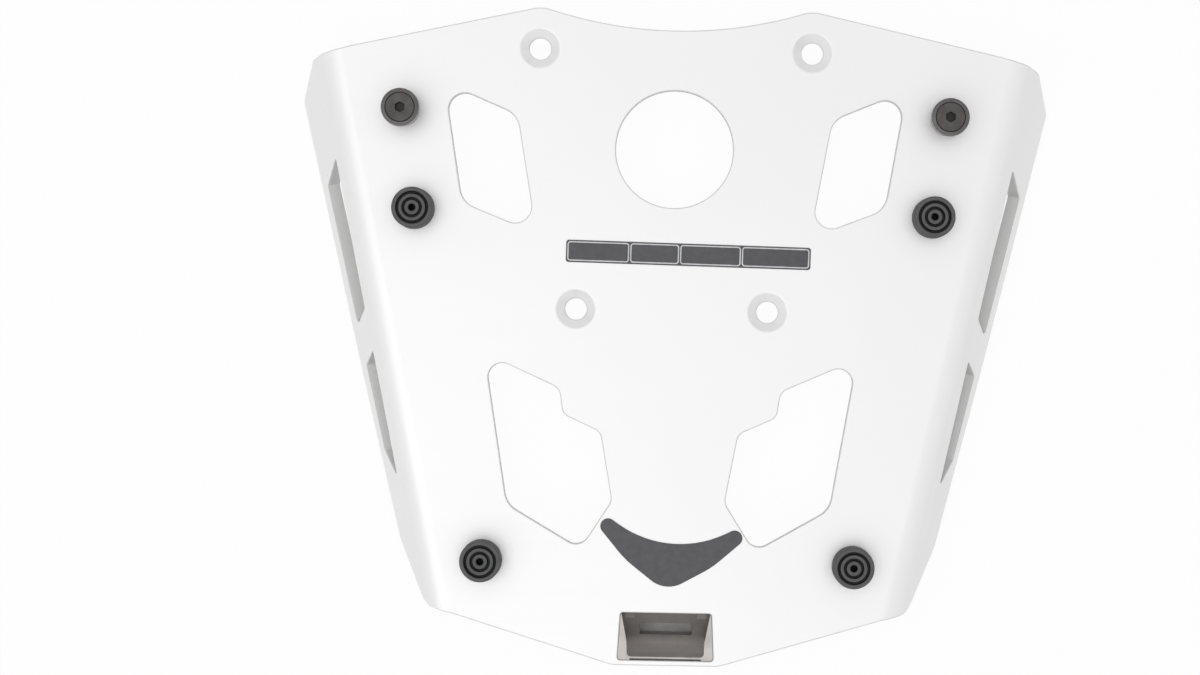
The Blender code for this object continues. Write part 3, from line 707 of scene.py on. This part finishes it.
# Camera: straight down over the middle of the rack
camera = {
    "lens": 85.0, "sensorWidth": 36.0, "height": 1.2451, "turn": 1.06,
    "shiftX": -0.0592, "shiftY": 0.0004,
}


def makeCamera():
    lens = bpy.data.cameras.new("camera")
    lens.lens = camera["lens"]
    lens.sensor_width = camera["sensorWidth"]
    lens.shift_x = camera["shiftX"]
    lens.shift_y = camera["shiftY"]
    holder = bpy.data.objects.new("camera", lens)
    bpy.context.scene.collection.objects.link(holder)
    holder.location = (0.0, 0.0, camera["height"])
    holder.rotation_euler = (0.0, 0.0, math.radians(camera["turn"]))
    bpy.context.scene.camera = holder


# Floor and light: the sky is brightest overhead, and a large lamp stands to the left
studio = {
    "floorSize": 6.0, "floorDrop": 0.0002, "floorColour": (0.92, 0.92, 0.92), "floorWhite": 0.95,
    "skyLow": 0.25, "skyHigh": 2.15, "skyPower": 8.0,
    "keyPlace": (-0.65, -0.55, 1.55), "keySize": 1.8, "keyPower": 5.1,
}


# 1 for the rays that show the background: camera, glossy and transmission rays
def backgroundRays(tree):
    path = tree.nodes.new("ShaderNodeLightPath")
    first = tree.nodes.new("ShaderNodeMath")
    first.operation = "MAXIMUM"
    second = tree.nodes.new("ShaderNodeMath")
    second.operation = "MAXIMUM"
    tree.links.new(path.outputs["Is Camera Ray"], first.inputs[0])
    tree.links.new(path.outputs["Is Glossy Ray"], first.inputs[1])
    tree.links.new(first.outputs["Value"], second.inputs[0])
    tree.links.new(path.outputs["Is Transmission Ray"], second.inputs[1])
    return second.outputs["Value"]


def makeFloor():
    bpy.ops.object.select_all(action="DESELECT")
    bpy.ops.mesh.primitive_plane_add(size=studio["floorSize"],
                                     location=(0.0, 0.0, -studio["floorDrop"]))
    floor = bpy.context.object
    floor.name = "floor"
    material = bpy.data.materials.new("paleFloor")
    material.use_nodes = True
    tree = material.node_tree
    tree.nodes.clear()
    output = tree.nodes.new("ShaderNodeOutputMaterial")
    matt = tree.nodes.new("ShaderNodeBsdfDiffuse")
    matt.inputs["Color"].default_value = (*studio["floorColour"], 1.0)
    white = tree.nodes.new("ShaderNodeEmission")
    white.inputs["Strength"].default_value = 1.0
    mix = tree.nodes.new("ShaderNodeMixShader")
    share = tree.nodes.new("ShaderNodeMath")
    share.operation = "MULTIPLY"
    share.inputs[1].default_value = studio["floorWhite"]
    tree.links.new(backgroundRays(tree), share.inputs[0])
    tree.links.new(share.outputs["Value"], mix.inputs["Fac"])
    tree.links.new(matt.outputs["BSDF"], mix.inputs[1])
    tree.links.new(white.outputs["Emission"], mix.inputs[2])
    tree.links.new(mix.outputs["Shader"], output.inputs["Surface"])
    floor.data.materials.append(material)


# The sky's level grows steeply towards the zenith, and it is plain white where it is seen
def makeWorld():
    world = bpy.data.worlds.new("studio")
    bpy.context.scene.world = world
    world.use_nodes = True
    tree = world.node_tree
    direction = tree.nodes.new("ShaderNodeTexCoord")
    parts = tree.nodes.new("ShaderNodeSeparateXYZ")
    steep = tree.nodes.new("ShaderNodeMath")
    steep.operation = "POWER"
    steep.inputs[1].default_value = studio["skyPower"]
    sky = tree.nodes.new("ShaderNodeMath")
    sky.operation = "MULTIPLY_ADD"
    sky.inputs[1].default_value = studio["skyHigh"]
    sky.inputs[2].default_value = studio["skyLow"]
    level = tree.nodes.new("ShaderNodeMapRange")
    level.inputs["To Max"].default_value = 1.0
    tree.links.new(direction.outputs["Generated"], parts.inputs["Vector"])
    tree.links.new(parts.outputs["Z"], steep.inputs[0])
    tree.links.new(steep.outputs["Value"], sky.inputs[0])
    tree.links.new(sky.outputs["Value"], level.inputs["To Min"])
    tree.links.new(backgroundRays(tree), level.inputs["Value"])
    tree.nodes["Background"].inputs["Color"].default_value = (1.0, 1.0, 1.0, 1.0)
    tree.links.new(level.outputs["Result"], tree.nodes["Background"].inputs["Strength"])


def makeKey():
    lamp = bpy.data.lights.new("key", "AREA")
    lamp.shape = "SQUARE"
    lamp.size = studio["keySize"]
    lamp.energy = studio["keyPower"]
    holder = bpy.data.objects.new("key", lamp)
    bpy.context.scene.collection.objects.link(holder)
    holder.location = studio["keyPlace"]
    holder.rotation_euler = Vector(studio["keyPlace"]).to_track_quat("Z", "Y").to_euler()


makeCamera()
makeFloor()
makeWorld()
makeKey()
bpy.context.scene.view_settings.view_transform = "Standard"
print("camera, floor and light made")
